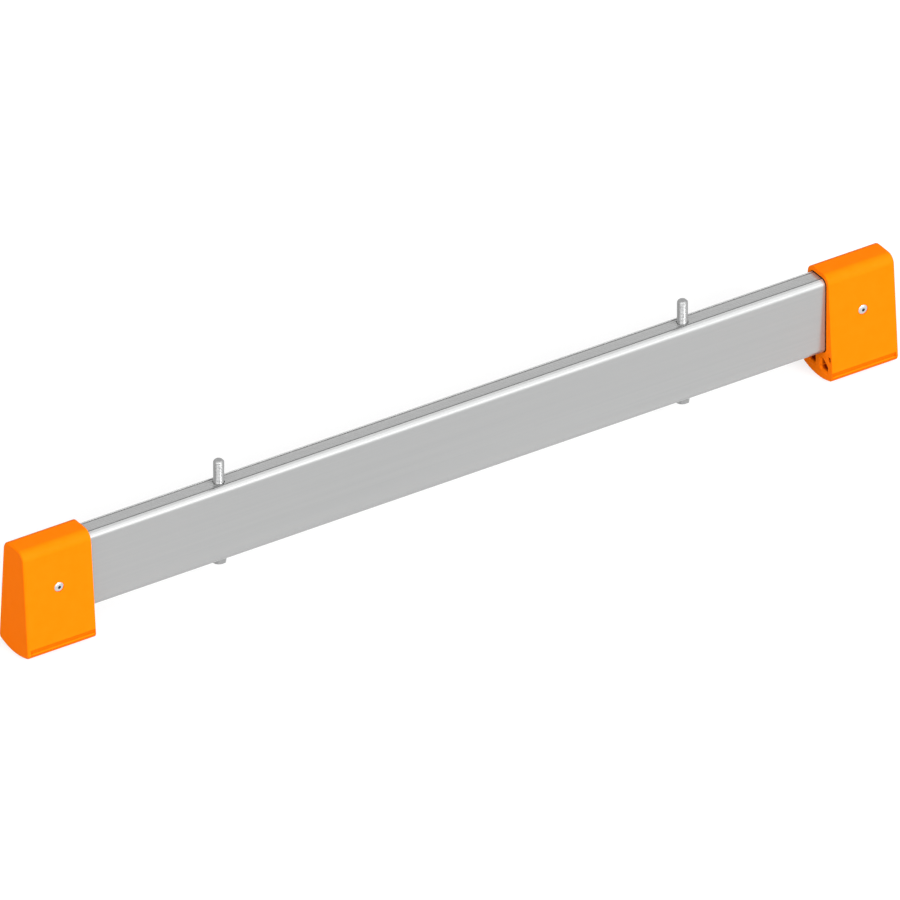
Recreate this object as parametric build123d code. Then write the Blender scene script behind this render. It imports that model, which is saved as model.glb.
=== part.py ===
from build123d import *
from math import degrees, radians, sqrt, tan
import os

# Cross-member that is bolted under the two stiles of a ladder to widen its stance.
# X runs along the bar, Y across it and Z up. The origin is on the ground, under the middle.
# All lengths are in millimetres and all angles in degrees.

# Overall
transom_length = 930.0
ground_clearance = 28.7

# Crossbar, an extruded box section with ribs on its two narrow faces
bar_width = 26.0
bar_height = 77.0
bar_corner_radius = 6.2
bar_wall = 2.0
rib_count = 5
rib_pitch = 2.42
rib_groove_width = 0.6
rib_groove_depth = 0.3
border_groove_width = 1.1
border_groove_depth = 0.9

# Foot, one moulding that is pushed over each end of the bar
foot_length = 71.5
foot_width = 49.4
foot_cover = 5.4
foot_draft = 4.6
foot_end_wall = 4.0
shoulder_radius = 10.0
end_edge_bevel = 1.2
socket_clearance = 0.8

# Tread, the curved underside of a foot
tread_radius = 60.0
tread_corner_radius = 5.0
tread_groove_count = 8
tread_groove_pitch = 4.5
tread_groove_width = 1.2
tread_groove_depth = 0.6

# Groove along each flank of a foot, above the tread, deepest near its lower edge
flank_groove_top = 13.4
flank_groove_root = 8.25
flank_groove_bottom = 8.05
flank_groove_depth = 3.2
flank_groove_stop = 2.5

# Cored pockets in the inner face of a foot, a large and a small one on each side
pocket_web = 10.0
pocket_width = 10.3
pocket_floor = 9.6
pocket_roof = 8.2
pocket_outer_height = 6.0
pocket_slope_width = 6.4
pocket_corner_radius = 1.2
pocket_mouth_bevel = 1.8
pocket_mouth_angle = 45.0
side_pocket_skin = 2.0
side_pocket_width = 4.6
side_pocket_toe = 2.3
side_pocket_height = 5.2
side_pocket_drop = 0.7
side_pocket_corner = 0.6

# Bolts, with their heads under the bar
bolt_spacing = 495.0
bolt_diameter = 10.0
bolt_shank_diameter = 9.0
bolt_length = 100.0
bolt_hole_diameter = 11.0
bolt_head_across_flats = 13.0
bolt_head_height = 6.5
bolt_head_bevel = 30.0
bolt_head_turn = 51.0
bolt_tip_chamfer = 1.5

# Blind rivets, two through each foot, from the front and from the back
rivet_diameter = 4.8
rivet_hole_diameter = 5.0
rivet_seat_diameter = 10.2
rivet_seat_depth = 0.2
rivet_head_diameter = 9.5
rivet_head_height = 1.3
rivet_bulge_diameter = 7.0
rivet_bulge_length = 4.5

# Stub of the pulled mandrel that stays in each rivet
mandrel_diameter = 2.6
mandrel_clearance = 0.05
mandrel_recess = 1.0
mandrel_head_diameter = 4.4
mandrel_head_length = 2.2

# Places that follow from the sizes above
bar_middle = ground_clearance + bar_height / 2
bar_length = transom_length - 2 * foot_end_wall
foot_height = ground_clearance + bar_height + foot_cover
foot_inner_face = transom_length / 2 - foot_length
core_depth = foot_length - foot_end_wall
tread_edge_height = tread_radius - sqrt(tread_radius**2 - (foot_width / 2) ** 2)
draft_slope = tan(radians(foot_draft))
rivet_x = transom_length / 2 - foot_length / 2


def flank_at(height):
    """Distance from the middle plane to a foot's drafted flank, at a height over the ground."""
    return foot_width / 2 - draft_slope * (height - tread_edge_height)


# The flat seat of a rivet is shallowest at its upper edge, because the flank leans inwards
rivet_seat = flank_at(bar_middle + rivet_seat_diameter / 2) - rivet_seat_depth
rivet_grip = rivet_seat - (bar_width / 2 - bar_wall)
rivet_end = rivet_grip + rivet_bulge_length


def along_bar(outline, length):
    """Solid of an outline drawn across the bar, run from the YZ plane towards +X."""
    return extrude(Plane.YZ * outline, amount=length, dir=(1, 0, 0))


def both_sides(outline):
    """An outline and its mirror image about the middle plane of the bar."""
    return outline + mirror(outline, about=Plane.YZ)


def across_bar(diameter, length):
    """Cylinder along Y, centred on the bar's middle height."""
    return Pos(0, 0, bar_middle) * Rot(90, 0, 0) * Cylinder(diameter / 2, length)


def groove_outline(width, depth):
    """V groove in a flat face through the origin; its mirror image lies outside the material."""
    return make_face(
        Polyline((-width / 2, 0), (0, -depth), (width / 2, 0), (0, depth), close=True)
    )


def bar_outline():
    """Box section with rounded corners, and the grooves that leave ribs on its narrow faces."""
    hollow_width = bar_width - 2 * bar_wall
    hollow_height = bar_height - 2 * bar_wall
    outline = RectangleRounded(bar_width, bar_height, bar_corner_radius)
    outline -= RectangleRounded(hollow_width, hollow_height, bar_corner_radius - bar_wall)
    border = bar_width / 2 - bar_corner_radius
    for face_height in (-bar_height / 2, bar_height / 2):
        for i in range(rib_count - 1):
            groove_y = (i - (rib_count - 2) / 2) * rib_pitch
            groove = groove_outline(rib_groove_width, rib_groove_depth)
            outline -= Pos(groove_y, face_height) * groove
        for border_y in (-border, border):
            groove = groove_outline(border_groove_width, border_groove_depth)
            outline -= Pos(border_y, face_height) * groove
    return outline


def make_crossbar():
    """Extruded bar with upright holes for the bolts and cross holes for the rivets."""
    bar = Pos(-bar_length / 2, 0, bar_middle) * along_bar(bar_outline(), bar_length)
    for x_sign in (-1, 1):
        bolt_place = Pos(x_sign * bolt_spacing / 2, 0, bar_middle)
        bar -= bolt_place * Cylinder(bolt_hole_diameter / 2, 2 * bar_height)
        bar -= Pos(x_sign * rivet_x, 0, 0) * across_bar(rivet_hole_diameter, 2 * bar_width)
    return bar


def foot_outline():
    """Cross-section of a foot: convex tread, drafted flanks and round shoulders."""
    top = flank_at(foot_height)
    bottom = foot_width / 2
    tread = ThreePointArc((-bottom, tread_edge_height), (0, 0), (bottom, tread_edge_height))
    sides = Polyline(
        (bottom, tread_edge_height),
        (top, foot_height),
        (-top, foot_height),
        (-bottom, tread_edge_height),
    )
    outline = make_face([tread, sides])
    outline = fillet(outline.vertices().sort_by(Axis.Y)[:2], tread_corner_radius)
    return fillet(outline.vertices().sort_by(Axis.Y)[-2:], shoulder_radius)


def socket_outline():
    """Mouth of the pocket that takes the end of the bar."""
    width = bar_width + 2 * socket_clearance
    height = bar_height + 2 * socket_clearance
    return Pos(0, bar_middle) * RectangleRounded(width, height, bar_corner_radius + socket_clearance)


def large_pocket_outlines():
    """Two cored pockets beside the middle web, each with one sloping side."""
    inner = pocket_web / 2
    outer = inner + pocket_width
    roof = ground_clearance - pocket_roof
    shelf = pocket_floor + pocket_outer_height
    corners = [
        (inner, pocket_floor),
        (outer, pocket_floor),
        (outer, shelf),
        (outer - pocket_slope_width, roof),
        (inner, roof),
    ]
    pocket = make_face(Polyline(*corners, close=True))
    return both_sides(fillet(pocket.vertices(), pocket_corner_radius))


def large_pockets():
    """Cores of the two large pockets, widened by a bevel round their mouths."""
    pockets = along_bar(large_pocket_outlines(), core_depth)
    mouths = Plane.YZ * offset(large_pocket_outlines(), pocket_mouth_bevel)
    bevel_depth = pocket_mouth_bevel / tan(radians(pocket_mouth_angle))
    for mouth in mouths.faces():
        pockets += extrude(mouth, amount=bevel_depth, dir=(1, 0, 0), taper=pocket_mouth_angle)
    return pockets


def small_pocket_outlines():
    """Two cored pockets in the thick of the flanks, below the socket's lower corners."""
    roof = ground_clearance - side_pocket_drop
    floor = roof - side_pocket_height
    roof_outer = flank_at(roof) - side_pocket_skin
    floor_outer = flank_at(floor) - side_pocket_skin
    corners = [
        (roof_outer - side_pocket_width, roof),
        (roof_outer, roof),
        (floor_outer, floor),
        (floor_outer - side_pocket_toe, floor),
    ]
    pocket = make_face(Polyline(*corners, close=True))
    return both_sides(chamfer(pocket.vertices(), side_pocket_corner))


def flank_groove_outlines():
    """Lopsided V section of the groove along each flank, open towards the outside."""
    corners = [
        (flank_at(flank_groove_top), flank_groove_top),
        (flank_at(flank_groove_root) - flank_groove_depth, flank_groove_root),
        (flank_at(flank_groove_bottom), flank_groove_bottom),
        (foot_width, flank_groove_root),
    ]
    return both_sides(make_face(Polyline(*corners, close=True)))


def tread_groove_outlines():
    """V sections of the fine grooves, evenly spaced along the curve of the tread."""
    groove = groove_outline(tread_groove_width, tread_groove_depth)
    pitch_angle = degrees(tread_groove_pitch / tread_radius)
    grooves = Sketch()
    for i in range(tread_groove_count):
        turn = Rot(0, 0, (i - (tread_groove_count - 1) / 2) * pitch_angle)
        grooves += Pos(0, tread_radius) * turn * Pos(0, -tread_radius) * groove
    return grooves


def rivet_cuts():
    """Hole across the foot and a flat seat for a rivet head on each flank."""
    cuts = across_bar(rivet_hole_diameter, 2 * foot_width)
    for side in (-1, 1):
        seat_place = Pos(0, side * (rivet_seat + foot_width / 2), 0)
        cuts += seat_place * across_bar(rivet_seat_diameter, foot_width)
    return cuts


def make_foot():
    """Foot for the bar's +X end, with its inner face on the YZ plane."""
    foot = along_bar(foot_outline(), foot_length)
    foot = chamfer(foot.faces().sort_by(Axis.X)[-1].edges(), end_edge_bevel)
    foot -= along_bar(socket_outline(), core_depth)
    foot -= large_pockets()
    foot -= along_bar(small_pocket_outlines(), core_depth)
    foot -= along_bar(flank_groove_outlines(), foot_length - flank_groove_stop)
    foot -= along_bar(tread_groove_outlines(), foot_length)
    foot -= Pos(foot_length / 2, 0, 0) * rivet_cuts()
    return foot


def make_bolt():
    """Hexagon bolt standing on its axis, with the seat of its head at the origin.

    Its shank is plain and reduced inside the bar, and has the full size of the thread above it.
    """
    downwards = (Align.CENTER, Align.CENTER, Align.MAX)
    upwards = (Align.CENTER, Align.CENTER, Align.MIN)
    flat_radius = bolt_head_across_flats / 2
    hexagon = RegularPolygon(flat_radius, 6, major_radius=False, rotation=bolt_head_turn)
    head = extrude(hexagon, amount=-bolt_head_height)
    spread = bolt_head_height / tan(radians(bolt_head_bevel))
    head &= Cone(flat_radius, flat_radius + spread, bolt_head_height, align=downwards)
    shank = Cylinder(bolt_shank_diameter / 2, bar_height, align=upwards)
    stud = Cylinder(bolt_diameter / 2, bolt_length - bar_height, align=upwards)
    stud = chamfer(stud.edges().sort_by(Axis.Z)[-1], bolt_tip_chamfer)
    return head + shank + Pos(0, 0, bar_height) * stud


def make_rivet():
    """Set blind rivet along Y, its raised head towards -Y and the seat of the head at Y = 0."""
    bore = mandrel_diameter / 2 + mandrel_clearance
    shank = rivet_diameter / 2
    head = rivet_head_diameter / 2
    bulge = rivet_bulge_diameter / 2
    outline = Polyline(
        (bore, -rivet_head_height),
        (bore, rivet_end),
        (bulge, rivet_end),
        (bulge, rivet_grip),
        (shank, rivet_grip),
        (shank, 0),
        (head, 0),
        close=True,
    )
    return revolve(make_face(outline), axis=Axis.Y)


def make_mandrel():
    """Broken mandrel along Y: its stem in the rivet's bore and its head at the blind end."""
    stem = mandrel_diameter / 2
    head = mandrel_head_diameter / 2
    break_point = mandrel_recess - rivet_head_height
    outline = Polyline(
        (0, break_point),
        (stem, break_point),
        (stem, rivet_end),
        (head, rivet_end),
        (head, rivet_end + mandrel_head_length),
        (0, rivet_end + mandrel_head_length),
        close=True,
    )
    return revolve(make_face(outline), axis=Axis.Y)


def write_node(name, piece):
    """Write one piece to its own file, under its own name."""
    piece.label = name
    export_step(piece, os.path.join("parts", name + ".step"))


os.makedirs("parts", exist_ok=True)
write_node("crossbar", make_crossbar())

right_foot = Pos(foot_inner_face, 0, 0) * make_foot()
write_node("foot_right", right_foot)
write_node("foot_left", mirror(right_foot, about=Plane.YZ))

bolt = make_bolt()
rivet = make_rivet()
mandrel = make_mandrel()
for end, x_sign in (("left", -1), ("right", 1)):
    write_node("bolt_" + end, Pos(x_sign * bolt_spacing / 2, 0, ground_clearance) * bolt)
    for side, turn in (("front", 0), ("back", 180)):
        place = Pos(x_sign * rivet_x, 0, bar_middle) * Rot(0, 0, turn) * Pos(0, -rivet_seat, 0)
        write_node(f"rivet_{end}_{side}", place * rivet)
        write_node(f"mandrel_{end}_{side}", place * mandrel)
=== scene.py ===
import bmesh
import bpy
import math
from mathutils import Matrix, Vector


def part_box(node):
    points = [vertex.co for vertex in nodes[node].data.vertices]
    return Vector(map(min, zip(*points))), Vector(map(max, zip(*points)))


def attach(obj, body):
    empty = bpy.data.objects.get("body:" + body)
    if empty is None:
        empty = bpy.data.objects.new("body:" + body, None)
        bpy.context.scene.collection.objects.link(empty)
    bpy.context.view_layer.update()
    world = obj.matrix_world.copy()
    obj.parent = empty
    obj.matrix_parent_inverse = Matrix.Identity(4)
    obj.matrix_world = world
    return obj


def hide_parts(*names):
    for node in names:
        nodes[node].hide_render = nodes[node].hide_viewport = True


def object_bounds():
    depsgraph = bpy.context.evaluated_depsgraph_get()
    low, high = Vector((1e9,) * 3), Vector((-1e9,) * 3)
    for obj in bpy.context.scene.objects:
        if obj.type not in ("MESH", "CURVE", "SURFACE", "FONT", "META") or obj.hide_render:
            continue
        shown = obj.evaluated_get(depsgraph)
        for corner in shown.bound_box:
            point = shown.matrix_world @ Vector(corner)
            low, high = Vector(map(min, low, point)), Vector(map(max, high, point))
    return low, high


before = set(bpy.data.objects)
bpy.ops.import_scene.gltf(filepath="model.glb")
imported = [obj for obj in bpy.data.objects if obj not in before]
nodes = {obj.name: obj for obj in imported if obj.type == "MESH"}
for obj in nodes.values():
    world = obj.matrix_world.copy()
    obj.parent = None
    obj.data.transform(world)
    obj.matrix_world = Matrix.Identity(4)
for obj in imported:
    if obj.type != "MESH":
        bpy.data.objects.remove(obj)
cad_low, cad_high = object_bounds()

MM = 0.001

# Sizes that the looks share with the solids, in millimetres
BAR_BOTTOM = 28.7
BAR_TOP = 105.7
BAR_MIDDLE = (BAR_BOTTOM + BAR_TOP) / 2
BAR_HALF_HEIGHT = BAR_TOP - BAR_MIDDLE
RIBBED_HALF_WIDTH = 7.4
BOLT_X = 247.5
BOLT_HEAD_FLATS = 13.0
BOLT_HEAD_HEIGHT = 6.5
BOLT_HEAD_TURN = 51.0
BOLT_LENGTH = 100.0
THREAD_RADIUS = 5.0
THREAD_PITCH = 1.5
THREAD_DEPTH = 0.5
SHANK_RADIUS = 4.5
FOOT_INNER_FACE = 393.5
FOOT_OUTER_FACE = 465.0
FOOT_LENGTH = FOOT_OUTER_FACE - FOOT_INNER_FACE
POCKET_HALF_WIDTH = 21.2
SOCKET_HALF_WIDTH = 14.0
CAVITY_FLOOR = 9.3
CAVITY_ROOF = 106.7
CAVITY_END = 461.1
RIVET_X = 429.25
FLANK_ROOT_Y = 21.264
FLANK_ROOT_Z = 8.25
FLANK_AT_ROOT = 24.44

# The part of a noise value's range over which tones and roughness change
NOISE_RANGE = (0.3, 0.7)

# Sockets of a Mix node that mixes colours
MIX_FACTOR = 0
MIX_FIRST_COLOUR = 6
MIX_SECOND_COLOUR = 7
MIX_RESULT = 2


def link_object(name, data):
    obj = bpy.data.objects.new(name, data)
    bpy.context.scene.collection.objects.link(obj)
    return obj


def smooth_by_angle(mesh, degrees):
    """Smooth shading, with the edges sharper than this angle kept crisp."""
    bm = bmesh.new()
    bm.from_mesh(mesh)
    bmesh.ops.recalc_face_normals(bm, faces=bm.faces)
    limit = math.radians(degrees)
    for f in bm.faces:
        f.smooth = True
    for e in bm.edges:
        e.smooth = not (len(e.link_faces) == 2 and e.calc_face_angle(0.0) > limit)
    bm.to_mesh(mesh)
    bm.free()


def new_piece(name, verts, faces, degrees):
    """Object from points in millimetres."""
    mesh = bpy.data.meshes.new(name)
    mesh.from_pydata([Vector(v) * MM for v in verts], [], faces)
    mesh.update()
    smooth_by_angle(mesh, degrees)
    return link_object(name, mesh)


def quads_between(first_ring, second_ring, around):
    """Quads between two rings of points, which are given by their numbers."""
    a, b = first_ring * around, second_ring * around
    faces = []
    for i in range(around):
        k = (i + 1) % around
        faces.append((a + i, a + k, b + k, b + i))
    return faces


def rings_to_faces(ring_count, around):
    """Quads between successive rings of points, and a fan at each end's single point."""
    faces = []
    for j in range(ring_count - 1):
        faces += quads_between(j, j + 1, around)
    first, last = ring_count * around, ring_count * around + 1
    top = (ring_count - 1) * around
    for i in range(around):
        k = (i + 1) % around
        faces.append((first, k, i))
        faces.append((last, top + i, top + k))
    return faces


class Nodes:
    """A material's node tree, with short ways to add and link nodes.

    Places on the part are values in metres. The limits they are compared with are given in
    millimetres.
    """

    def __init__(self, name):
        self.material = bpy.data.materials.new(name)
        self.material.use_nodes = True
        self.tree = self.material.node_tree
        self.bsdf = next(n for n in self.tree.nodes if n.type == "BSDF_PRINCIPLED")
        self.coord = self.add("ShaderNodeTexCoord").outputs["Object"]

    def add(self, kind, **settings):
        node = self.tree.nodes.new(kind)
        for key, value in settings.items():
            setattr(node, key, value)
        return node

    def link(self, a, b):
        self.tree.links.new(a, b)

    def noise(self, scale, detail, rough=0.55, stretch=(1.0, 1.0, 1.0)):
        mapping = self.add("ShaderNodeMapping")
        mapping.inputs["Scale"].default_value = stretch
        self.link(self.coord, mapping.inputs["Vector"])
        n = self.add("ShaderNodeTexNoise")
        n.inputs["Scale"].default_value = scale
        n.inputs["Detail"].default_value = detail
        n.inputs["Roughness"].default_value = rough
        self.link(mapping.outputs["Vector"], n.inputs["Vector"])
        return n.outputs["Fac"]

    def spread(self, value, low, high, at=NOISE_RANGE):
        """Result that runs from low to high as the value crosses a range."""
        r = self.add("ShaderNodeMapRange")
        r.inputs["From Min"].default_value = at[0]
        r.inputs["From Max"].default_value = at[1]
        r.inputs["To Min"].default_value = low
        r.inputs["To Max"].default_value = high
        self.link(value, r.inputs["Value"])
        return r.outputs["Result"]

    def across(self, place, low, high, start, end):
        """Result that runs from low to high between two places."""
        return self.spread(place, low, high, (start * MM, end * MM))

    def toned(self, value, dark, light):
        """Colour that runs from a dark tone to a light one with a noise value."""
        r = self.add("ShaderNodeValToRGB")
        for element, position, colour in zip(r.color_ramp.elements, NOISE_RANGE, (dark, light)):
            element.position = position
            element.color = (*colour, 1.0)
        self.link(value, r.inputs["Fac"])
        return r.outputs["Color"]

    def math(self, kind, a, b=0.0):
        m = self.add("ShaderNodeMath", operation=kind)
        for socket, value in zip(m.inputs, (a, b)):
            if isinstance(value, (int, float)):
                socket.default_value = value
            else:
                self.link(value, socket)
        return m.outputs[0]

    def product(self, first, *others):
        for other in others:
            first = self.math("MULTIPLY", first, other)
        return first

    def size(self, value):
        return self.math("ABSOLUTE", value)

    def distance(self, place, middle):
        return self.size(self.math("SUBTRACT", place, middle * MM))

    def over(self, place, limit):
        """Mask of what lies over a limit."""
        return self.math("GREATER_THAN", place, limit * MM)

    def under(self, place, limit):
        """Mask of what lies under a limit."""
        return self.math("LESS_THAN", place, limit * MM)

    def scaled(self, colour, factor):
        v = self.add("ShaderNodeVectorMath", operation="SCALE")
        self.link(colour, v.inputs[0])
        self.link(factor, v.inputs["Scale"])
        return v.outputs[0]

    def mixed(self, colour, other, factor):
        """The colour turned towards another one by a factor."""
        m = self.add("ShaderNodeMix", data_type="RGBA")
        self.link(factor, m.inputs[MIX_FACTOR])
        self.link(colour, m.inputs[MIX_FIRST_COLOUR])
        m.inputs[MIX_SECOND_COLOUR].default_value = (*other, 1.0)
        return m.outputs[MIX_RESULT]

    def place(self):
        """X, Y and Z of the shaded point."""
        split = self.add("ShaderNodeSeparateXYZ")
        self.link(self.coord, split.inputs[0])
        return split.outputs[0], split.outputs[1], split.outputs[2]

    def bump(self, height, strength, distance, normal=None):
        b = self.add("ShaderNodeBump")
        b.inputs["Strength"].default_value = strength
        b.inputs["Distance"].default_value = distance
        self.link(height, b.inputs["Height"])
        if normal is not None:
            self.link(normal, b.inputs["Normal"])
        return b.outputs["Normal"]

    def finished(self, tone, rough, normal, **fixed):
        """The material, with its looks linked and its fixed values set on the shader."""
        for name, value in (("Base Color", tone), ("Roughness", rough), ("Normal", normal)):
            self.link(value, self.bsdf.inputs[name])
        for name, value in fixed.items():
            self.bsdf.inputs[name].default_value = value
        return self.material


# The bar's looks: places in millimetres, and shares of its streaks and of its tone
LINES_SHARE = 0.6
BROAD_SHARE = 0.4
RIB_ZONE_DEPTH = 1.3
# Painted shade in the grooves between the ribs, by depth under the ribs' top
GROOVE_SHADE_FROM = 0.03
GROOVE_DARKEST_FROM = 0.35
# Painted shade at and inside the feet's sockets
SOCKET_SHADE_FROM = 0.9
SOCKET_DARKEST_FROM = 0.4
# Painted highlight: a brighter band on the bar's two upper rounded corners
PAINTED_HIGHLIGHT_DEPTH = 6.2
PAINTED_HIGHLIGHT_INNER_Y = 7.6
PAINTED_HIGHLIGHT_OUTER_Y = 13.0
PAINTED_HIGHLIGHT_GAIN = 0.52
# Painted shade in a line along each border of the ribs
BORDER_LINE_Y = 6.42
BORDER_LINE_HALF_WIDTH = 0.4
BORDER_LINE_SHADE = 0.7
DARKEST_BAR_SHARE = 0.08


def satin_bar():
    """Extruded aluminium: fine die lines along the bar and a painted highlight on its two upper
    corners.

    It has painted shade in the grooves between the ribs, less of it in a line at each border of
    the ribs, and painted shade again at and inside the feet's sockets.
    """
    n = Nodes("satin_aluminium")
    lines = n.noise(scale=1.0, detail=2.0, rough=0.5, stretch=(3.0, 420.0, 420.0))
    broad = n.noise(scale=1.0, detail=2.0, stretch=(1.5, 90.0, 90.0))
    grain = n.noise(scale=1500.0, detail=2.0)
    streaks = n.math("ADD", n.product(lines, LINES_SHARE), n.product(broad, BROAD_SHARE))
    tone = n.toned(streaks, (0.36, 0.364, 0.364), (0.385, 0.388, 0.386))
    x, y, z = n.place()
    length, width = n.size(x), n.size(y)
    height = n.distance(z, BAR_MIDDLE)

    # Painted highlight that brightens the tone on the upper rounded corners
    painted_highlight = n.across(width, PAINTED_HIGHLIGHT_GAIN, 0.0, PAINTED_HIGHLIGHT_INNER_Y, PAINTED_HIGHLIGHT_OUTER_Y)
    painted_highlight = n.product(n.over(z, BAR_TOP - PAINTED_HIGHLIGHT_DEPTH), painted_highlight, n.over(width, PAINTED_HIGHLIGHT_INNER_Y))
    tone = n.scaled(tone, n.math("ADD", painted_highlight, 1.0))

    in_ribs = n.product(
        n.under(width, RIBBED_HALF_WIDTH), n.over(height, BAR_HALF_HEIGHT - RIB_ZONE_DEPTH)
    )
    # Painted shade in the rib grooves, darker deeper down
    groove = n.across(
        height, 1.0, 0.0,
        BAR_HALF_HEIGHT - GROOVE_DARKEST_FROM, BAR_HALF_HEIGHT - GROOVE_SHADE_FROM,
    )
    # Painted shade in a line along each border of the ribs
    border = n.under(n.distance(width, BORDER_LINE_Y), BORDER_LINE_HALF_WIDTH)
    # Painted shade at and inside the feet's sockets
    socket_shade = n.across(
        length, 0.0, 1.0,
        FOOT_INNER_FACE - SOCKET_SHADE_FROM, FOOT_INNER_FACE - SOCKET_DARKEST_FROM,
    )
    # All painted shade on the bar: rib grooves, border lines and sockets
    painted_shade = n.math(
        "MAXIMUM", n.product(groove, in_ribs), n.product(border, in_ribs, BORDER_LINE_SHADE)
    )
    painted_shade = n.math("MAXIMUM", painted_shade, socket_shade)
    tone = n.scaled(tone, n.spread(painted_shade, 1.0, DARKEST_BAR_SHARE, (0.0, 1.0)))
    rough = n.spread(streaks, 0.22, 0.25)
    normal = n.bump(grain, strength=0.1, distance=0.00001)
    return n.finished(tone, rough, normal, Metallic=0.66)


# The feet's looks: places in millimetres, the noise range of the scuffs, and tones
SCUFF_RANGE = (0.45, 0.75)
CAVITY_SHADE_FROM = 1.5
CAVITY_DARKEST_FROM = 4.6
SMALL_POCKET_Y = (16.5, 17.0)
SMALL_POCKET_STEEPNESS = 3.5
SOCKET_STEP = 0.2
FLANK_INNER_MARGIN = 0.5
FLANK_OUTER_MARGIN = 2.5
LEDGE_Z = 8.15
LEDGE_HALF_HEIGHT = 0.15
LEDGE_RISE_Y = (21.7, 22.7)
LEDGE_FALL_Y = (23.7, 24.1)
RIM_Y = 22.0
LIP_Z = 12.8
LIP_HALF_HEIGHT = 0.55
# Painted shade deep in the cored cavities
CAVITY_SHADE_TONE = (0.26, 0.012, 0.0008)
# Painted shade on the flank under the ledge
RIM_SHADE_TONE = (0.98, 0.14, 0.0015)
# Painted shade on the lip over each flank's groove
LIP_SHADE_TONE = (0.84, 0.14, 0.0015)
# Painted highlight on the ledge of each flank's groove
LEDGE_HIGHLIGHT_TONE = (1.0, 0.29, 0.004)


def moulded_plastic():
    """Orange moulding with faint mottling, a satin grain and painted shade deep in its cavities.

    On each flank the groove's lower side is a ledge with a painted highlight, the flank below it
    has a little painted shade, and the groove's upper side ends in a lip with painted shade.
    """
    n = Nodes("moulded_orange_plastic")
    cloud = n.noise(scale=90.0, detail=3.0)
    grain = n.noise(scale=2600.0, detail=2.0)
    scuffs = n.noise(scale=1.0, detail=4.0, rough=0.7, stretch=(60.0, 420.0, 900.0))
    tone = n.toned(cloud, (0.985, 0.183, 0.0015), (1.0, 0.193, 0.0025))
    x, y, z = n.place()
    length, width = n.size(x), n.size(y)
    inwards = n.math("SUBTRACT", length, FOOT_INNER_FACE * MM)

    steep = n.across(width, 1.0, SMALL_POCKET_STEEPNESS, *SMALL_POCKET_Y)
    depth = n.across(
        n.product(inwards, steep), 0.0, 1.0, CAVITY_SHADE_FROM, CAVITY_DARKEST_FROM
    )
    half_width = n.across(
        z, POCKET_HALF_WIDTH * MM, SOCKET_HALF_WIDTH * MM, BAR_BOTTOM - SOCKET_STEP, BAR_BOTTOM
    )
    inside = n.product(
        n.math("LESS_THAN", width, half_width), n.under(length, CAVITY_END),
        n.over(z, CAVITY_FLOOR), n.under(z, CAVITY_ROOF),
    )
    # Painted shade deep in the cored cavities, darker further in
    tone = n.mixed(tone, CAVITY_SHADE_TONE, n.product(depth, inside))

    on_flank = n.product(
        n.over(inwards, FLANK_INNER_MARGIN), n.under(inwards, FOOT_LENGTH - FLANK_OUTER_MARGIN)
    )
    # Painted shade on the flank under the ledge
    rim = n.product(n.under(z, LEDGE_Z + LEDGE_HALF_HEIGHT), n.over(width, RIM_Y), on_flank)
    tone = n.mixed(tone, RIM_SHADE_TONE, rim)
    # Painted shade on the lip over each flank's groove
    lip = n.product(n.under(n.distance(z, LIP_Z), LIP_HALF_HEIGHT), on_flank)
    tone = n.mixed(tone, LIP_SHADE_TONE, lip)
    # Painted highlight on the ledge of each flank's groove
    ledge = n.product(
        n.under(n.distance(z, LEDGE_Z), LEDGE_HALF_HEIGHT),
        n.across(width, 0.0, 1.0, *LEDGE_RISE_Y), n.across(width, 1.0, 0.0, *LEDGE_FALL_Y),
        on_flank,
    )
    tone = n.mixed(tone, LEDGE_HIGHLIGHT_TONE, ledge)

    scuffed = n.spread(scuffs, -0.03, 0.05, at=SCUFF_RANGE)
    rough = n.math("ADD", n.spread(grain, 0.40, 0.47), scuffed)
    normal = n.bump(grain, strength=0.2, distance=0.00003)
    normal = n.bump(scuffs, strength=0.05, distance=0.00003, normal=normal)
    return n.finished(tone, rough, normal, IOR=1.06)


def plated_steel():
    """Bright zinc plating with a fine crystalline variation."""
    n = Nodes("plated_steel")
    cloud = n.noise(scale=350.0, detail=3.0)
    grain = n.noise(scale=4000.0, detail=2.0)
    tone = n.toned(cloud, (0.29, 0.294, 0.298), (0.33, 0.33, 0.327))
    rough = n.spread(cloud, 0.29, 0.37)
    normal = n.bump(grain, strength=0.1, distance=0.00001)
    return n.finished(tone, rough, normal, Metallic=0.75)


# Painted shade in the bore of the rivet heads, in millimetres and in a share of their tone
BORE_DARK_RADIUS = 1.4
BORE_BRIGHT_RADIUS = 1.75
BORE_SHADE_SHARE = 0.12


def rivet_metal():
    """Bright drawn aluminium of the rivet bodies, with painted shade in the bore that the mandrel
    left.
    """
    n = Nodes("rivet_aluminium")
    cloud = n.noise(scale=700.0, detail=3.0)
    grain = n.noise(scale=5000.0, detail=2.0)
    tone = n.toned(cloud, (0.50, 0.505, 0.51), (0.57, 0.575, 0.58))
    x, _, z = n.place()
    along, up = n.distance(n.size(x), RIVET_X), n.distance(z, BAR_MIDDLE)
    radius = n.math("SQRT", n.math("ADD", n.product(along, along), n.product(up, up)))
    # Painted shade in the bore
    tone = n.scaled(tone, n.across(radius, BORE_SHADE_SHARE, 1.0, BORE_DARK_RADIUS, BORE_BRIGHT_RADIUS))
    rough = n.spread(cloud, 0.22, 0.32)
    normal = n.bump(grain, strength=0.2, distance=0.00002)
    return n.finished(tone, rough, normal, Metallic=0.85)


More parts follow.
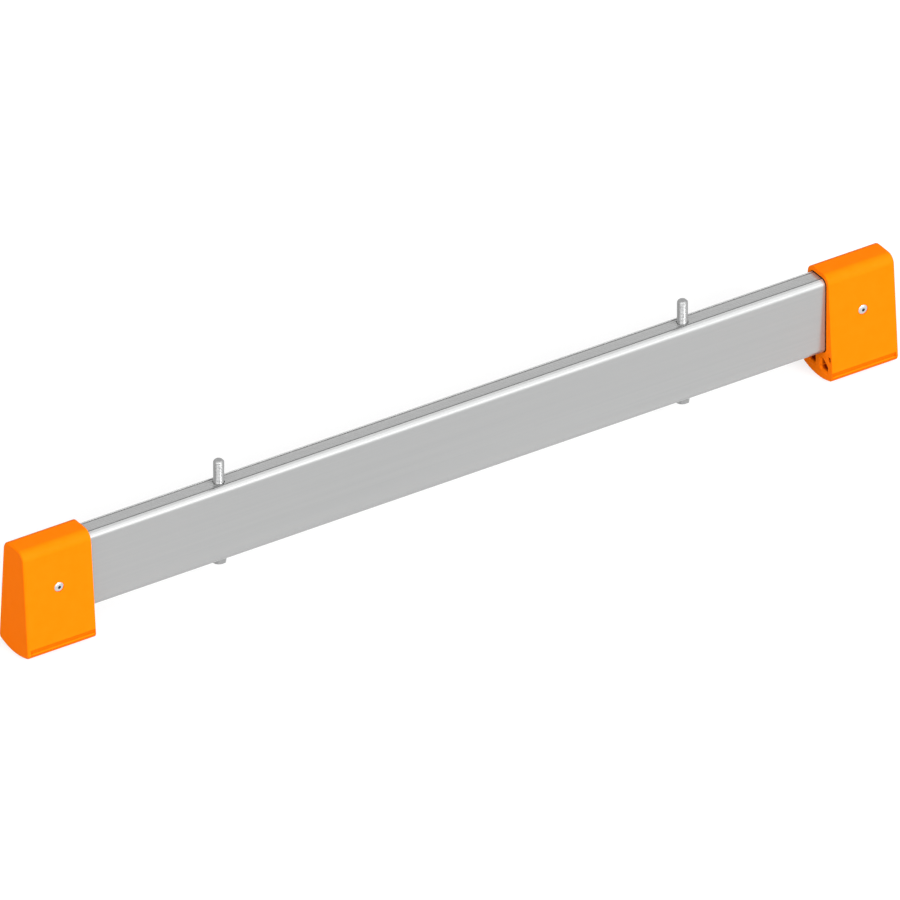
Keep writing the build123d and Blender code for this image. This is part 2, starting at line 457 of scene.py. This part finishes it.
def mandrel_metal():
    """Dull steel of the broken mandrels, painted near black as the shade deep in the rivets'
    bores.
    """
    n = Nodes("mandrel_steel")
    cloud = n.noise(scale=1500.0, detail=4.0, rough=0.7)
    # Near black, as painted shade deep in the rivets' bores
    tone = n.toned(cloud, (0.03, 0.03, 0.03), (0.06, 0.06, 0.062))
    rough = n.spread(cloud, 0.4, 0.6)
    normal = n.bump(cloud, strength=0.4, distance=0.00006)
    return n.finished(tone, rough, normal, Metallic=0.6)


def put_material(obj, material):
    obj.data.materials.clear()
    obj.data.materials.append(material)


# The bolt's fine forms, in millimetres, degrees and shares of the half width over its flats
HEAD_SIDE_ANGLE = 60.0
HEAD_CORNER_CUT = 0.12
HEAD_END_SHARES = (0.35, 0.75, 0.93)
HEAD_BEVEL_SHARE = 0.97
HEAD_BEVEL_ANGLE = 30.0
HEAD_BEVEL_STEPS = (0.0, 0.5, 1.0)
HEAD_EDGE_BELOW_BAR = 0.45
HEAD_EDGE_CUT = 0.2
HEAD_TOP_BELOW_BAR = 0.25
WASHER_FACE_HEIGHT = 0.2
WASHER_FACE_INSET = (0.25, 0.3)
THREAD_START_BELOW_TOP = 4.0
THREAD_FADE = 1.2
THREAD_STEPS_PER_PITCH = 14
THREAD_ROUNDNESS = 0.8
TIP_BEVEL = 1.5
TIP_EDGE_INSET = 0.35
TIP_FACE_INSET = 1.0
TIP_FACE_DROP = 0.06
TIP_CENTRE_DROP = 0.1
BOLT_POINTS_AROUND = 96
BOLT_SHARP_ANGLE = 35.0


def thread_profile(t):
    """Depth of a rolled thread, from 0 on its crest to 1 in its root, over one pitch."""
    wave = 0.5 - 0.5 * math.cos(2 * math.pi * t)
    return wave ** THREAD_ROUNDNESS


def hexagon_radius(angle):
    """Radius of the head's outline at an angle in degrees, with its corners cut a little."""
    within = (angle - BOLT_HEAD_TURN) % HEAD_SIDE_ANGLE - HEAD_SIDE_ANGLE / 2
    flat = BOLT_HEAD_FLATS / 2
    corner = flat / math.cos(math.radians(HEAD_SIDE_ANGLE / 2))
    return min(flat / math.cos(math.radians(within)), corner - HEAD_CORNER_CUT)


def make_bolt(name, x):
    """Hexagon bolt: bevelled head under the bar, plain shank inside it and a thread above."""
    flat = BOLT_HEAD_FLATS / 2
    rings = []

    def ring(radius_at, height_at):
        points = []
        for i in range(BOLT_POINTS_AROUND):
            angle = BOLT_HEAD_TURN + 360.0 * i / BOLT_POINTS_AROUND
            r, z = radius_at(angle), height_at(angle)
            turn = math.radians(angle)
            points.append((x + r * math.cos(turn), r * math.sin(turn), z))
        rings.append(points)

    def circle(radius, height):
        ring(lambda angle: radius, lambda angle: height)

    bottom = BAR_BOTTOM - BOLT_HEAD_HEIGHT
    bevel_start = flat * HEAD_BEVEL_SHARE
    bevel_slope = math.tan(math.radians(HEAD_BEVEL_ANGLE))
    for share in HEAD_END_SHARES:
        circle(flat * share, bottom)
    for step in HEAD_BEVEL_STEPS:
        ring(
            lambda a, s=step: bevel_start + (hexagon_radius(a) - bevel_start) * s,
            lambda a, s=step: bottom + (hexagon_radius(a) - bevel_start) * s * bevel_slope,
        )
    ring(hexagon_radius, lambda a: BAR_BOTTOM - HEAD_EDGE_BELOW_BAR)
    ring(lambda a: hexagon_radius(a) - HEAD_EDGE_CUT, lambda a: BAR_BOTTOM - HEAD_TOP_BELOW_BAR)
    circle(flat - WASHER_FACE_INSET[0], BAR_BOTTOM - WASHER_FACE_HEIGHT)
    circle(flat - WASHER_FACE_INSET[1], BAR_BOTTOM)
    circle(SHANK_RADIUS, BAR_BOTTOM)

    start = BAR_TOP - THREAD_START_BELOW_TOP
    tip = BAR_BOTTOM + BOLT_LENGTH
    cone_start = tip - TIP_BEVEL
    circle(SHANK_RADIUS, start)
    steps = int((tip - start) / THREAD_PITCH * THREAD_STEPS_PER_PITCH)
    for j in range(1, steps + 1):
        z = start + (tip - start) * j / steps

        def thread_radius(angle, z=z):
            depth = thread_profile(z / THREAD_PITCH - angle / 360.0) * THREAD_DEPTH
            fade = min(1.0, max(0.0, (z - start) / THREAD_FADE))
            r = THREAD_RADIUS - depth
            r = SHANK_RADIUS + (r - SHANK_RADIUS) * fade
            cone = THREAD_RADIUS - max(0.0, z - cone_start)
            return min(r, cone)

        ring(thread_radius, lambda a, z=z: z)
    end_radius = THREAD_RADIUS - TIP_BEVEL
    circle(end_radius - TIP_EDGE_INSET, tip)
    circle(end_radius - TIP_FACE_INSET, tip - TIP_FACE_DROP)
    verts = [p for points in rings for p in points]
    verts += [(x, 0.0, bottom), (x, 0.0, tip - TIP_CENTRE_DROP)]
    faces = rings_to_faces(len(rings), BOLT_POINTS_AROUND)
    return new_piece(name, verts, faces, BOLT_SHARP_ANGLE)


# The rivet's section, in millimetres: first its bore and dome, then points of a radius and a
# depth under the head's top, and last points of a radius and a distance from the set end
RIVET_BORE_RADIUS = 1.35
RIVET_MOUTH_RADIUS = 1.65
RIVET_MOUTH_DEPTH = 0.55
RIVET_MOUTH_STEPS = 4
RIVET_DOME_RADIUS = 4.5
RIVET_DOME_TOP = 0.04
RIVET_DOME_DROP = 0.78
RIVET_DOME_POWER = 2.1
RIVET_DOME_STEPS = 14
RIVET_RIM_AND_SHANK = ((4.68, 0.92), (4.75, 1.05), (4.75, 1.22), (4.68, 1.3), (2.4, 1.3))
RIVET_BULB = (
    (2.4, 4.5), (3.45, 4.45), (3.5, 4.2), (3.5, 1.8), (3.2, 0.7), (2.5, 0.05), (2.2, 0.0),
    (RIVET_BORE_RADIUS, 0.0),
)
RIVET_POINTS_AROUND = 72
RIVET_SHARP_ANGLE = 40.0


def rivet_outline(length):
    """Closed section of the rivet, as radii and depths under the head's top."""
    outline = []
    for k in range(RIVET_MOUTH_STEPS + 1):
        turn = math.radians(90.0 * k / RIVET_MOUTH_STEPS)
        widening = (RIVET_MOUTH_RADIUS - RIVET_BORE_RADIUS) * (1 - math.cos(turn))
        depth = RIVET_MOUTH_DEPTH - RIVET_MOUTH_DEPTH * math.sin(turn)
        depth += RIVET_DOME_TOP * k / RIVET_MOUTH_STEPS
        outline.append((RIVET_BORE_RADIUS + widening, depth))
    for k in range(1, RIVET_DOME_STEPS + 1):
        s = k / RIVET_DOME_STEPS
        r = RIVET_MOUTH_RADIUS + (RIVET_DOME_RADIUS - RIVET_MOUTH_RADIUS) * s
        outline.append((r, RIVET_DOME_TOP + RIVET_DOME_DROP * s ** RIVET_DOME_POWER))
    outline += RIVET_RIM_AND_SHANK
    outline += [(r, length - from_end) for r, from_end in RIVET_BULB]
    return outline


def make_rivet(name, node, outward):
    """Set blind rivet turned about Y: a low dome with a rolled rim round the mandrel's bore."""
    low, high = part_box(node)
    centre_x, centre_z = (low.x + high.x) / 2 / MM, (low.z + high.z) / 2 / MM
    face = (low.y if outward < 0 else high.y) / MM
    outline = rivet_outline((high.y - low.y) / MM)
    verts = []
    for r, depth in outline:
        y = face - outward * depth
        for i in range(RIVET_POINTS_AROUND):
            a = 2 * math.pi * i / RIVET_POINTS_AROUND
            verts.append((centre_x + r * math.cos(a), y, centre_z + r * math.sin(a)))
    faces = []
    for j in range(len(outline)):
        faces += quads_between(j, (j + 1) % len(outline), RIVET_POINTS_AROUND)
    return new_piece(name, verts, faces, RIVET_SHARP_ANGLE)


# Copies of the solids: angles in degrees, and lengths in metres where the name lacks MM
JOIN_WITHIN = 2e-6
SHORT_EDGE = 2e-5
FLAT_WITHIN_ANGLE = 0.4
COPY_SHARP_ANGLE = 24.0
SECTION_CUTS_MM = (0, 80, 160, 235, 260, 330, 400, 420, 440)
SECTION_CUT_TOLERANCE = 1e-7
GROOVE_LIP_MM = 0.9
GROOVE_CUT_TOLERANCE = 1e-6
ROOT_WITHIN = 1e-5
ROOT_Y_WITHIN = 2e-5
OUTER_EDGES_WITHIN_MM = 1.3
INNER_EDGES_WITHIN_MM = 0.01
OUTER_EDGE_WEIGHT = 1.0
INNER_EDGE_WEIGHT = 0.3
EDGE_BEVEL_MM = 0.6
EDGE_BEVEL_SEGMENTS = 3
LARGE_FACE_WEIGHT = 100


def copy_solid(node, name):
    """Mesh of a solid in one skin with its flat faces whole, which a piece starts from."""
    source = nodes[node].data
    mesh = bpy.data.meshes.new(name)
    polygons = [p.vertices[:] for p in source.polygons]
    mesh.from_pydata([v.co for v in source.vertices], [], polygons)
    bm = bmesh.new()
    bm.from_mesh(mesh)
    bmesh.ops.remove_doubles(bm, verts=bm.verts, dist=JOIN_WITHIN)
    bmesh.ops.dissolve_degenerate(bm, dist=SHORT_EDGE, edges=bm.edges)
    angle = math.radians(FLAT_WITHIN_ANGLE)
    bmesh.ops.dissolve_limit(bm, angle_limit=angle, verts=bm.verts, edges=bm.edges)
    return mesh, bm


def finish_copy(mesh, bm, node):
    bm.to_mesh(mesh)
    bm.free()
    smooth_by_angle(mesh, COPY_SHARP_ANGLE)
    obj = link_object(mesh.name, mesh)
    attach(obj, "root")
    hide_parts(node)
    return obj


def cut_across(bm, x, tolerance):
    """New edges all round the mesh at one X."""
    bmesh.ops.bisect_plane(
        bm, geom=bm.verts[:] + bm.edges[:] + bm.faces[:],
        plane_co=(x, 0, 0), plane_no=(1, 0, 0), dist=tolerance,
    )


def close_groove(bm, inner_x):
    """Thin lip that closes the end of a foot's flank grooves at its inner face."""
    outward = math.copysign(1.0, inner_x)
    cut_across(bm, inner_x * MM + outward * GROOVE_LIP_MM * MM, GROOVE_CUT_TOLERANCE)
    for v in bm.verts:
        at_end = abs(v.co.x - inner_x * MM) < ROOT_WITHIN
        at_root_z = abs(v.co.z - FLANK_ROOT_Z * MM) < ROOT_WITHIN
        at_root_y = abs(abs(v.co.y) - FLANK_ROOT_Y * MM) < ROOT_Y_WITHIN
        if at_end and at_root_z and at_root_y:
            v.co.y = math.copysign(FLANK_AT_ROOT * MM, v.co.y)


def keep_flats_flat(obj):
    normals = obj.modifiers.new("flat_normals", "WEIGHTED_NORMAL")
    normals.mode = "FACE_AREA"
    normals.keep_sharp = True
    normals.weight = LARGE_FACE_WEIGHT


def make_section():
    mesh, bm = copy_solid("crossbar", "box_section")
    for x in SECTION_CUTS_MM:
        for side in (-1, 1):
            cut_across(bm, side * x * MM, SECTION_CUT_TOLERANCE)
    bmesh.ops.triangulate(bm, faces=bm.faces[:])
    section = finish_copy(mesh, bm, "crossbar")
    keep_flats_flat(section)
    return section


def make_foot(end):
    """Visual foot with closed flank grooves, and with edges softened at its two ends."""
    inner_x = FOOT_INNER_FACE * (-1 if end == "left" else 1)
    mesh, bm = copy_solid("foot_" + end, f"foot_{end}_moulding")
    close_groove(bm, inner_x)
    weights = bm.edges.layers.float.new("bevel_weight_edge")
    sharp = math.radians(COPY_SHARP_ANGLE)
    for e in bm.edges:
        ends = [abs(v.co.x) for v in e.verts]
        if len(e.link_faces) == 2 and e.calc_face_angle(0.0) > sharp:
            if min(ends) > (FOOT_OUTER_FACE - OUTER_EDGES_WITHIN_MM) * MM:
                e[weights] = OUTER_EDGE_WEIGHT
            elif max(ends) < (FOOT_INNER_FACE + INNER_EDGES_WITHIN_MM) * MM:
                e[weights] = INNER_EDGE_WEIGHT
    foot = finish_copy(mesh, bm, "foot_" + end)
    bevel = foot.modifiers.new("soft_edges", "BEVEL")
    bevel.width = EDGE_BEVEL_MM * MM
    bevel.segments = EDGE_BEVEL_SEGMENTS
    bevel.limit_method = "WEIGHT"
    keep_flats_flat(foot)
    return foot


bar = satin_bar()
plastic = moulded_plastic()
steel = plated_steel()
rivet_finish = rivet_metal()
mandrel_finish = mandrel_metal()

section = make_section()
put_material(section, bar)
for end in ("left", "right"):
    foot = make_foot(end)
    put_material(foot, plastic)
    bolt = make_bolt(f"bolt_{end}_threaded", -BOLT_X if end == "left" else BOLT_X)
    put_material(bolt, steel)
    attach(bolt, "root")
    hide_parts("bolt_" + end)
    for side, outward in (("front", -1), ("back", 1)):
        node = f"rivet_{end}_{side}"
        rivet = make_rivet(node + "_turned", node, outward)
        put_material(rivet, rivet_finish)
        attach(rivet, "root")
        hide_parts(node)
        put_material(nodes[f"mandrel_{end}_{side}"], mandrel_finish)


# Floor, world and lamps: lengths in metres, and brightnesses where 1 is white
FLOOR_HALF_SIZE = 6.0
FLOOR_GAP = 0.0002
FLOOR_COLOUR = (0.35, 0.35, 0.35, 1)
FLOOR_COLOUR_IN_VIEW = (0.3, 0.3, 0.3, 1)
FLOOR_GLOW = 0.76
WHITE = (1, 1, 1, 1)
AMBIENT = 0.29
SUN_DISTANCE = 3.0

# Name, direction the light comes from, strength and angular size in degrees
SUNS = (
    ("key", (0.15, -0.87, 0.48), 0.80, 18.0),
    ("broad_fill", (0.10, -0.80, 0.58), 0.50, 100.0),
    ("side_fill", (-0.80, -0.44, 0.40), 0.62, 60.0),
)

# The camera, fitted to the photograph, which is taken to be 900 x 900 pixels
CAMERA_AZIMUTH = 33.0
CAMERA_ELEVATION = 32.1
PIXELS_PER_MM = 1.1153
IMAGE_PIXELS = 900.0
ORIGIN_PIXEL = (451.2, 501.35)
LENS = 1700.0
SENSOR_WIDTH = 36.0
CLIP_RANGE = (1.0, 100.0)


def add_shader(tree, kind, **values):
    node = tree.nodes.new(kind)
    for name, value in values.items():
        node.inputs[name].default_value = value
    return node


def show_when_seen(tree, unseen, seen, output_kind):
    """One shader for the camera, reflections and refractions, and another for the light."""
    path = tree.nodes.new("ShaderNodeLightPath")
    rays = path.outputs["Is Camera Ray"]
    for name in ("Is Glossy Ray", "Is Transmission Ray"):
        total = tree.nodes.new("ShaderNodeMath")
        total.operation = "ADD"
        total.use_clamp = True
        tree.links.new(rays, total.inputs[0])
        tree.links.new(path.outputs[name], total.inputs[1])
        rays = total.outputs[0]
    mix = tree.nodes.new("ShaderNodeMixShader")
    tree.links.new(rays, mix.inputs["Fac"])
    tree.links.new(unseen.outputs[0], mix.inputs[1])
    tree.links.new(seen.outputs[0], mix.inputs[2])
    output = tree.nodes.new(output_kind)
    tree.links.new(mix.outputs[0], output.inputs["Surface"])


def make_floor():
    """Plain floor that glows where it is seen and still takes the object's shadow."""
    size = FLOOR_HALF_SIZE
    corners = [(-size, -size, 0), (size, -size, 0), (size, size, 0), (-size, size, 0)]
    mesh = bpy.data.meshes.new("floor")
    mesh.from_pydata(corners, [], [(0, 1, 2, 3)])
    floor = link_object("floor", mesh)
    floor.location.z = cad_low.z - FLOOR_GAP
    material = bpy.data.materials.new("pale_floor")
    material.use_nodes = True
    tree = material.node_tree
    tree.nodes.clear()
    plain = add_shader(tree, "ShaderNodeBsdfDiffuse", Color=FLOOR_COLOUR)
    faint = add_shader(tree, "ShaderNodeBsdfDiffuse", Color=FLOOR_COLOUR_IN_VIEW)
    glow = add_shader(tree, "ShaderNodeEmission", Strength=FLOOR_GLOW)
    both = tree.nodes.new("ShaderNodeAddShader")
    tree.links.new(faint.outputs[0], both.inputs[0])
    tree.links.new(glow.outputs[0], both.inputs[1])
    show_when_seen(tree, plain, both, "ShaderNodeOutputMaterial")
    mesh.materials.append(material)


def make_world():
    """Studio that is white where it is seen and lights the object dimly and evenly."""
    world = bpy.data.worlds.new("studio")
    bpy.context.scene.world = world
    world.use_nodes = True
    tree = world.node_tree
    tree.nodes.clear()
    dim = add_shader(tree, "ShaderNodeBackground", Color=WHITE, Strength=AMBIENT)
    white = add_shader(tree, "ShaderNodeBackground", Color=WHITE, Strength=1.0)
    show_when_seen(tree, dim, white, "ShaderNodeOutputWorld")


def make_sun(name, direction, strength, angle):
    """Distant light from a direction; its strength is the brightness of white that faces it."""
    data = bpy.data.lights.new(name, "SUN")
    data.energy = strength * math.pi
    data.angle = math.radians(angle)
    sun = link_object(name, data)
    sun.rotation_mode = "QUATERNION"
    sun.rotation_quaternion = Vector(direction).to_track_quat("Z", "Y")
    sun.location = Vector(direction).normalized() * SUN_DISTANCE


def make_camera():
    """Long lens from the front left and above, which is nearly a parallel projection."""
    azimuth, elevation = math.radians(CAMERA_AZIMUTH), math.radians(CAMERA_ELEVATION)
    right = Vector((math.cos(azimuth), -math.sin(azimuth), 0))
    up = Vector((
        math.sin(azimuth) * math.sin(elevation),
        math.cos(azimuth) * math.sin(elevation),
        math.cos(elevation),
    ))
    back = right.cross(up)
    data = bpy.data.cameras.new("camera")
    data.lens = LENS
    data.sensor_width = SENSOR_WIDTH
    data.clip_start, data.clip_end = CLIP_RANGE
    data.dof.use_dof = False
    distance = IMAGE_PIXELS / PIXELS_PER_MM * MM * data.lens / data.sensor_width
    centre = IMAGE_PIXELS / 2
    target = right * ((centre - ORIGIN_PIXEL[0]) / PIXELS_PER_MM * MM)
    target += up * ((ORIGIN_PIXEL[1] - centre) / PIXELS_PER_MM * MM)
    camera = link_object("camera", data)
    rotation = Matrix((right, up, back)).transposed().to_4x4()
    camera.matrix_world = Matrix.Translation(target + back * distance) @ rotation
    bpy.context.scene.camera = camera


make_floor()
make_world()
for name, direction, strength, angle in SUNS:
    make_sun(name, direction, strength, angle)
make_camera()
bpy.context.scene.view_settings.view_transform = "Standard"
